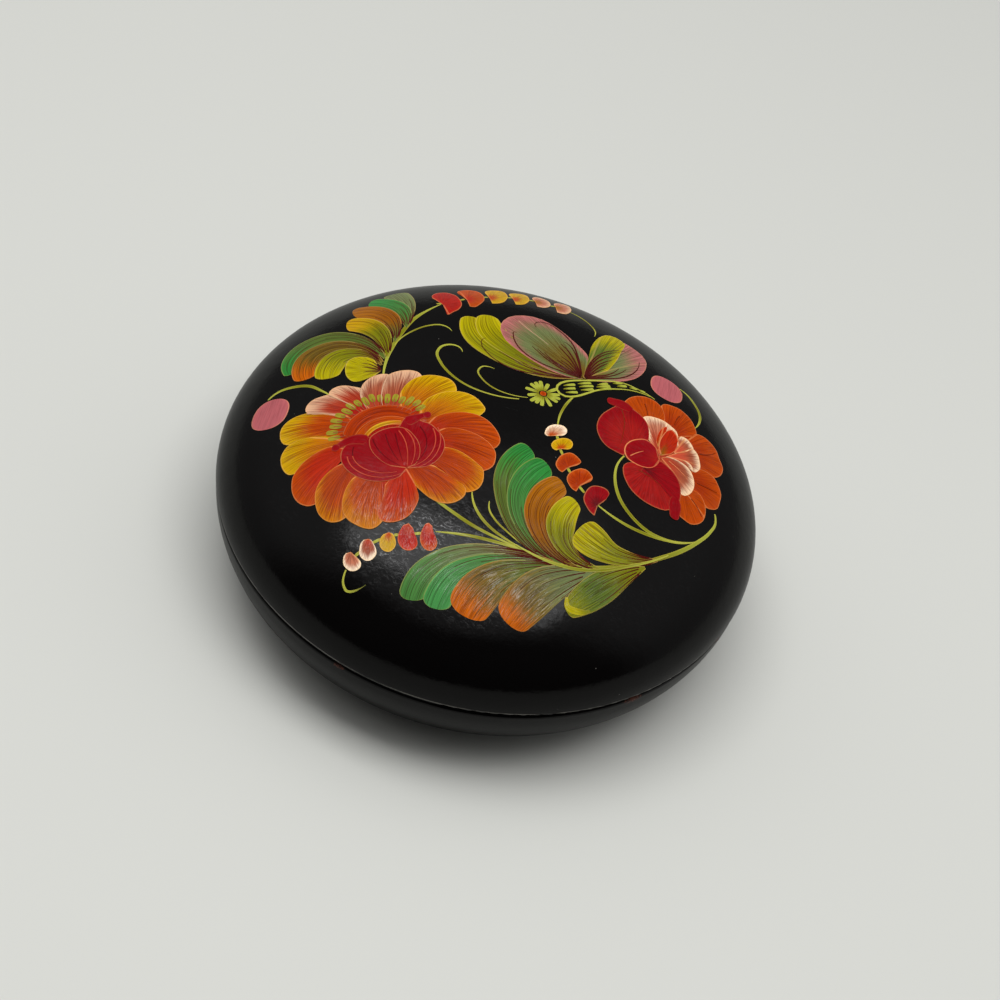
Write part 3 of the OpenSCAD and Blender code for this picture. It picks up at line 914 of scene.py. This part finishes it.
butterfly = {
    # inks from root to tip, points along each stroke, and half its widths there
    "lowWing": [
        ("umber olive yellow", [(14, 19.4), (4, 17.2), (-6, 19), (-13.6, 24.6), (-17, 33.8)],
         (0.4, 2.6, 3.2, 3.6, 2.2)),
        ("umber olive yellow", [(14, 19.6), (4, 19.2), (-4, 22.8), (-10, 28), (-12.8, 36.2)],
         (0.4, 2, 3.4, 4, 2.4)),
    ],
    "wingRoot": (15.3, 19.5),
    # inks from root to tip, how late they change, and the edge of each wing's tip
    "wings": [
        ("umber sage mauve", 1.9, [
            (14.5, 18.9), (10.2, 18), (5.6, 18.6), (0.8, 20.6), (-3.3, 23.2), (-6.3, 25.8), (-7.9, 28.6),
            (-8.8, 31.8), (-8.5, 35), (-7.1, 38.1), (-4.7, 40.1), (-2.2, 41.1), (0.8, 41.1), (4.1, 39.7),
            (7.4, 37.4), (10.4, 34.7), (13, 32.4), (14.8, 30.3), (15.4, 28.2), (15.4, 24.8)]),
        ("umber sage mauve", 1.3, [
            (20, 25.6), (22.7, 33.6), (23.3, 39), (23.5, 45), (26.1, 44.2), (28.6, 42.8), (30.3, 40.1),
            (30.6, 36.1), (29.9, 32.2), (28, 28), (25.2, 24.8), (21.7, 22), (18.1, 20.1)]),
        ("umber moss yellow", 1.2, [
            (15.5, 22), (15.3, 30.3), (15.3, 34.7), (16.1, 39.4), (17.3, 43), (19.1, 45.5),
            (21.1, 46.1), (23.5, 45), (23.3, 39), (22.6, 33.5), (20.9, 26.8)]),
    ],
    "veins": [
        [(14.7, 19.4), (8.8, 19.4), (3.9, 20.1), (-0.1, 21.9), (-3.5, 25.4), (-4.8, 28.7), (-4.9, 30.7),
         (-4.3, 30.8)],
        [(14.5, 20.1), (12.8, 27.2), (10, 33.7), (6.2, 37.7), (2.5, 39.7), (0.3, 39),
         (-0.4, 37.6), (0.2, 36)],
        [(14.5, 19.2), (9.8, 20.2), (5.4, 22.3), (2.4, 24.6), (0.5, 26.3)],
        [(14.5, 19.3), (10.5, 20.6), (6.9, 22.1), (4, 24.1), (2, 25.8)],
        [(14.5, 19.4), (10.9, 20.8), (7.7, 22.2), (5.2, 23.8), (4, 25.2)],
        [(14.5, 19.7), (11.6, 21.2), (9.1, 22.7), (7.6, 23.5)],
        [(14.5, 20.1), (12.3, 23.6), (10, 26.8), (8.2, 28.6), (7.1, 29.7)],
        [(14.5, 20.4), (12.6, 24.4), (10.6, 27.9), (8.7, 30.3), (7.5, 31.1)],
        [(14.5, 19.9), (12.1, 22.8), (9.9, 24.8), (8.3, 25.5)],
        [(14.4, 19.6), (11.8, 22), (9.7, 23.4), (8.5, 23.8)],
        [(14.5, 21), (12.9, 26), (11.3, 29.7), (9.4, 32.2), (8, 32.8)],
        [(15.5, 20.3), (15.8, 25.8), (17.7, 32.3), (20.7, 37), (24.4, 39.9)],
        [(15.5, 20.2), (16.1, 25.3), (17.8, 31), (20.1, 35), (23.1, 38)],
        [(15.6, 20.2), (16.5, 24.9), (18, 29.3), (20, 32.6), (22, 35.2)],
        [(15.6, 20.1), (16.8, 24.1), (18.2, 27.7), (20.2, 30.9), (21.4, 32.5)],
        [(15.7, 20), (17.1, 23.3), (18.4, 26.5), (20, 29.3), (20.5, 30)],
        [(15.7, 20), (17.4, 22.8), (18.9, 25.5), (20.4, 27.5)],
        [(15.7, 19.9), (18.2, 22.4), (20.6, 24.3), (22.6, 27.3), (23.6, 29.8)],
        [(15.8, 19.8), (18.3, 21.8), (21.4, 24.3), (24.1, 27.8), (25.5, 30.8)],
        [(15.8, 19.8), (19.7, 22.3), (24.3, 25.6), (27.3, 30), (28.6, 34.9), (28.5, 37.7)],
    ],
    "lowVeins": [
        [(12, 18), (5, 15.6), (-1, 14.6), (-6.3, 15.9), (-9.8, 18.5), (-11.9, 21.5), (-12.2, 23.7),
         (-11.3, 24.9)],
        [(11, 17.7), (5.2, 16.6), (0, 17.1), (-4.8, 19.3), (-7.2, 20.5)],
        [(12.7, 18.4), (7.4, 17.1), (2.2, 17.2), (-1.8, 18.8)],
        [(10.3, 17.4), (4.6, 15.7), (-0.5, 15.7), (-5.1, 16.7)],
        [(13, 18.6), (7.4, 17.9), (2, 18.8), (-3, 20.8)],
    ],
    "wingLine": [(-4.7, 36.9), (-1.1, 33.4), (2.2, 30.8), (4.4, 29.1)],
    "body": [(34.4, 23.4), (32.5, 24), (29.2, 24.3), (26, 24.2), (23.2, 23.2), (19.8, 21.3), (16.4, 19.3),
             (13.3, 17.5), (11, 15.8), (9.6, 14), (9.3, 11.9), (10, 10.9), (11.2, 10.2), (13, 10.6),
             (15.1, 12.1), (17.2, 14.4), (19.2, 16.7), (21.4, 18.6), (23.6, 20.1), (27, 22.1),
             (30.6, 23.3), (33.1, 23.6)],
    "dashes": [
        [(10.8, 14), (12.3, 15.1), (13.6, 15.9)], [(11, 12.7), (12.5, 13.7), (13.9, 14.5)],
        [(11.8, 11.7), (13.2, 12.5), (14.7, 13.3)],
        [(14.2, 16.6), (15.9, 17.8), (17.4, 18.8)], [(14.7, 15.6), (16.5, 16.9), (18.2, 17.9)],
        [(15.3, 14.6), (17, 15.7), (18.4, 16.7)],
        [(19.1, 19), (20.4, 20.2), (21.6, 21.2)], [(19, 18), (20.8, 19.4), (22.3, 20.6)],
        [(19.8, 17.5), (21.3, 18.7), (22.8, 19.8)],
        [(22.9, 22.2), (24.2, 23.1), (25.2, 23.8)], [(24.1, 21.7), (25.2, 22.5), (26.5, 23.4)],
        [(27.3, 23.3), (28.4, 23.8), (29.4, 24.1)], [(29.7, 24.1), (30.7, 24.2), (31.6, 24.2)],
    ],
    "dashWidths": (0.1, 0.38, 0.42),              # mm, half of each
    "daisy": (6.4, 8.6),
    "daisyPetals": 14,
    "daisyReach": (1.1, 4.5),                     # mm from its middle to a petal's root and tip
    "daisyWidths": (0.26, 0.5, 0.46),             # mm, half of each
    "daisyHeart": 0.8,                            # mm, half its width
}


def paintButterfly():
    motif = Motif("butterfly", layer=6)
    for colours, spine, widths in butterfly["lowWing"]:
        motif.stroke(colours, spine, widths, rise=2)
    for points in butterfly["lowVeins"]:
        motif.hair("maroon", points, 0.2)
    for colours, late, tipEdge in butterfly["wings"]:
        motif.fan(colours, butterfly["wingRoot"], tipEdge, streak=1, rise=2, late=late)
    motif.hair("shell", butterfly["wingLine"], 0.1)
    for points in butterfly["veins"]:
        motif.hair("maroon", points, 0.25)
    motif.line("lime lime lime", butterfly["body"], 0.3, ends=(0.3, 0.3))
    for points in butterfly["dashes"]:
        motif.stroke("olive lime lime", points, butterfly["dashWidths"], tipRound=0.6, streak=0.3,
                     rim=0.2, rise=0.1, columns=4)
    motif.dry()

    daisy = Motif("daisy", layer=8)
    middle = np.array(butterfly["daisy"])
    inner, outer = butterfly["daisyReach"]
    for i in range(butterfly["daisyPetals"]):
        turn = 2 * math.pi * i / butterfly["daisyPetals"] + 0.12 * math.sin(5 * i)
        way = np.array([math.cos(turn), math.sin(turn)])
        reach = outer + 0.25 * math.sin(3.7 * i)
        spine = [tuple(middle + way * share) for share in (inner, (inner + reach) / 2, reach)]
        daisy.stroke("olive lime lime", spine, butterfly["daisyWidths"], rootRound=0.5, streak=0.3,
                     rim=0.3, rise=0.1, columns=4)
    x, y = butterfly["daisy"]
    half = butterfly["daisyHeart"]
    heart = [(x - half, y), (x, y), (x + half, y)]
    daisy.stroke("orange deepOrange orange", heart, (half, half, half), rootRound=1, streak=0.5, rim=0.4)
    daisy.dry()


# strings of berries, then the two round dots

berries = {
    # inks from root to tip, root, and the edge of the berry's tip
    "berries_top": [
        ("red red red", (-24.9, 38), [
            (-27.1, 40.5), (-28.5, 42.3), (-27.8, 45.3), (-25.5, 46.5), (-23.3, 45.7), (-21, 42.4),
            (-20.2, 39.9), (-20.5, 36.6), (-21.6, 34.7), (-22.7, 32.8), (-23.4, 35.1)]),
        ("fire orange orange", (-19.3, 43), [
            (-20.5, 45.4), (-22.6, 48), (-20.7, 50.5), (-18, 50.8), (-15.6, 47.9), (-15, 44.9),
            (-15.7, 41.7), (-16.8, 39.5), (-18, 39.4)]),
        ("orange gold gold", (-13.7, 46.7), [
            (-14.8, 49.2), (-15.6, 51.4), (-13.6, 54.2), (-11.5, 54.9), (-9.6, 51.8), (-9.4, 48.6),
            (-10.4, 45.4), (-12.7, 43.8)]),
        ("orange gold gold", (-7.6, 49.3), [
            (-8.5, 51.4), (-9.3, 53.1), (-7.6, 55.6), (-5.4, 56.3), (-3.7, 52.9), (-3.8, 50.1),
            (-4.9, 47.6), (-6.7, 46.5)]),
        ("ochre blush shell", (-1.9, 51.7), [
            (-2.5, 53.2), (-3, 54.6), (-1.5, 57.2), (0.5, 56.8), (2.1, 53.7), (1.9, 51.1), (0.5, 49.2),
            (-1.1, 48.9)]),
        ("ochre blush shell", (3.7, 52), [
            (3.3, 53.5), (3, 54.6), (4.5, 57.4), (6.5, 58.1), (7.8, 55.1), (7.8, 52.3), (6.2, 49.1),
            (4.4, 48.9)]),
    ],
    "berries_middle": [
        ("orange shell cream", (10.9, -5), [
            (10.1, -5.3), (9.4, -4.9), (9.3, -3.9), (9.8, -2.1), (11, -0.9), (12.2, -0.4), (13.5, -0.4),
            (14.4, -1.2), (14.5, -2.3), (13.9, -3.4), (12.6, -4)]),
        ("orange gold gold", (14, -8), [
            (13.1, -8.9), (12.4, -8.8), (11.6, -7.8), (11.8, -6.5), (12.8, -5.2), (14.2, -4.2),
            (15.4, -4), (16.4, -4.5), (16.7, -5.4), (16.4, -6.8), (15.1, -7.6)]),
        ("deepOrange deepOrange orange", (16.9, -13), [
            (15.9, -14.8), (15, -14.6), (14.3, -14), (13.8, -13.1), (13.9, -11.7), (14.5, -10),
            (15.5, -8.8), (16.6, -8.1), (17.7, -8.2), (18.8, -8.8), (19.7, -9.7), (19.3, -10.7),
            (18.1, -11.8)]),
        ("deepOrange deepOrange orange", (20.8, -17), [
            (20.3, -18.8), (19.3, -18.6), (18.1, -17.6), (17.3, -16.2), (17.4, -14.8), (18.1, -13.5),
            (19.1, -12.4), (20.2, -11.6), (21.5, -11.5), (22.6, -12.1), (23.4, -13.1), (23, -14.5),
            (21.9, -15.4)]),
        ("wine crimson crimson", (26.2, -20.4), [
            (26, -23.4), (24.9, -23), (23.6, -21.9), (22.8, -20.9), (22.4, -20), (22.4, -18.7),
            (22.8, -17), (23.7, -15.5), (24.9, -14.9), (26.3, -14.6), (27.5, -14.8), (28.2, -15.5),
            (28, -17), (27.3, -18.7)]),
    ],
    "berries_low": [
        ("coral red orange", (-11.6, -38.6), [
            (-12.2, -39), (-12.5, -39.9), (-12.7, -41.5), (-12.5, -43), (-11.8, -44.2), (-10.6, -45.1),
            (-9.4, -45.2), (-8.4, -44.3), (-8.3, -43.1), (-8.9, -41.9), (-9.9, -40.6), (-10.6, -39.2)]),
        ("rose red fire", (-16.1, -39.7), [
            (-17.2, -40.4), (-17.5, -41.5), (-17.7, -42.7), (-17.5, -44.1), (-16.7, -45.3),
            (-15.4, -46.1), (-14.1, -46.1), (-13.1, -45.5), (-12.7, -44.5), (-13.1, -43.3),
            (-14.1, -41.9), (-14.9, -40.6)]),
        ("orange gold gold", (-20, -42.7), [
            (-21.1, -43.4), (-21.5, -44.4), (-21.4, -45.5), (-20.9, -46.5), (-19.7, -47.2),
            (-18.6, -47.2), (-17.8, -46.4), (-17.6, -45.3), (-18.1, -44), (-19, -42.9)]),
        ("rose clay cream", (-24.2, -44.9), [
            (-25.2, -45.3), (-25.6, -46.2), (-25.5, -47.6), (-25.1, -48.8), (-24.3, -49.5),
            (-23.3, -49.9), (-22.3, -49.7), (-21.6, -48.9), (-21.4, -48), (-21.8, -47), (-22.6, -46),
            (-23.5, -45.1)]),
        ("clay blush cream", (-27.3, -48.3), [
            (-28.3, -48.7), (-28.6, -49.3), (-28.5, -50.3), (-28.1, -51.2), (-27.1, -52), (-25.9, -52.4),
            (-24.7, -52.1), (-24.1, -51.3), (-24.3, -50.4), (-25.1, -49.7), (-26, -49.2)]),
    ],
    "tail": [(-27.2, -52.2), (-27.3, -53.4), (-27.1, -54.7), (-26.5, -55.7), (-25.7, -56.4),
             (-24.7, -56.5), (-23.6, -56.2), (-22.7, -55.7), (-21.7, -54.9)],
}

# the round dots: x and y, half the width and half the height
dots = [(37.1, 31.2, 4.6, 5.2), (-57.3, -10.6, 4.2, 5)]


def paintBerries():
    for name in ("berries_top", "berries_middle", "berries_low"):
        motif = Motif(name, layer=6)
        for colours, root, tipEdge in berries[name]:
            motif.fan(colours, root, tipEdge, streak=0.7, rim=0.9, late=1.4)
        if name == "berries_low":
            motif.line("lime lime moss", berries["tail"], 0.24, ends=(0.8, 0.1))
        motif.dry()
    motif = Motif("dots", layer=6)
    for x, y, across, tall in dots:
        spine = [(x, y - tall), (x, y), (x, y + tall)]
        motif.stroke("pink pink pink", spine, (across, across, across), rootRound=tall / across,
                     tipRound=tall / across, streak=0.35, rim=0.9)
    motif.dry()


paintStems()
paintLargeFlower()
paintSideFlower()
paintLeaf("leaf_lower", lowerLeaf)
paintLeaf("leaf_upper", upperLeaf)
paintButterfly()
paintBerries()
print("painting done")


# stage: a pale floor, one long lamp overhead and a dim room

stage = {
    "floorSize": 40.0,                            # m
    "floorColour": (0.627, 0.633, 0.598, 1),
    "floorDrop": 0.0002,                          # m, so that the foot and the floor don't share a face
    "lampSize": (1.1, 0.42),                      # m
    "lampPlace": (-0.02, -0.08, 1.0),             # m
    "lampPower": 6.3,                             # W
    "walls": 0.2,                                 # light from the room's walls
    "sideWalls": 0.36,                            # more of it from the left and the right
    "frontWall": 0.1,                             # share that comes from in front
    "ceiling": 0.8,
    "ceilingEdge": (0.76, 0.93),                  # heights, as a share of straight up, where it fades in
}


def makeFloor():
    half = stage["floorSize"] / 2
    mesh = bpy.data.meshes.new("floor")
    corners = [(-half, -half, 0), (half, -half, 0), (half, half, 0), (-half, half, 0)]
    mesh.from_pydata(corners, [], [(0, 1, 2, 3)])
    floor = bpy.data.objects.new("floor", mesh)
    bpy.context.scene.collection.objects.link(floor)
    material, finish = newFinish("floorPaper")
    finish.gloss({"Base Color": stage["floorColour"], "Roughness": 0.7, "Specular IOR Level": 0.2})
    mesh.materials.append(material)
    floor.location.z = -stage["floorDrop"]


def makeLamp():
    lamp = bpy.data.lights.new("overhead", "AREA")
    lamp.shape = "RECTANGLE"
    lamp.size, lamp.size_y = stage["lampSize"]
    lamp.energy = stage["lampPower"]
    holder = bpy.data.objects.new("overhead", lamp)
    bpy.context.scene.collection.objects.link(holder)
    holder.location = stage["lampPlace"]
    holder.rotation_mode = "QUATERNION"
    holder.rotation_quaternion = Vector(stage["lampPlace"]).to_track_quat("Z", "Y")


def makeRoom():
    world = bpy.data.worlds.new("room")
    world.use_nodes = True
    bpy.context.scene.world = world
    finish = Finish(world.node_tree)
    x, y, z = finish.split(finish.node("ShaderNodeTexCoord", out="Generated"))
    front = finish.ease(y, -0.5, -0.1, stage["frontWall"], 1)
    walls = (stage["walls"] + stage["sideWalls"] * abs(x)) * front * (0.7 + finish.ease(z, 0.1, 0.9))
    level = walls + finish.ease(z, *stage["ceilingEdge"], 0, stage["ceiling"])
    grey = finish.join(level, level, level)
    shader = finish.node("ShaderNodeBackground", {}, {"Color": grey, "Strength": 1.0})
    finish.node("ShaderNodeOutputWorld", {}, {"Surface": shader})


# camera at the photograph's own angle

view = {
    "lens": 75.6,                                 # mm
    "sensor": 36,                                 # mm wide
    "elevation": 46.95,                           # degrees
    "roll": 15.55,                                # degrees
    "distance": 540.3,                            # mm
    "target": (3.15, -0.70, 26.5),                # mm, the middle of the picture
}


def makeCamera():
    camera = bpy.data.cameras.new("camera")
    camera.lens = view["lens"]
    camera.sensor_width = view["sensor"]
    camera.clip_start = 0.01
    holder = bpy.data.objects.new("camera", camera)
    bpy.context.scene.collection.objects.link(holder)
    up, roll = math.radians(view["elevation"]), math.radians(view["roll"])
    forward = Vector((0, math.cos(up), -math.sin(up)))
    right = Vector((1, 0, 0))
    above = right.cross(forward)
    leanRight = math.cos(roll) * right + math.sin(roll) * above
    leanUp = math.cos(roll) * above - math.sin(roll) * right
    turn = Matrix((leanRight, leanUp, -forward)).transposed()
    place = (Vector(view["target"]) - forward * view["distance"]) * mm
    holder.matrix_world = Matrix.Translation(place) @ turn.to_4x4()
    bpy.context.scene.camera = holder


makeFloor()
makeLamp()
makeRoom()
makeCamera()
bpy.context.scene.view_settings.view_transform = "Standard"
print("stage, lamp and camera set")

bpy.context.view_layer.update()
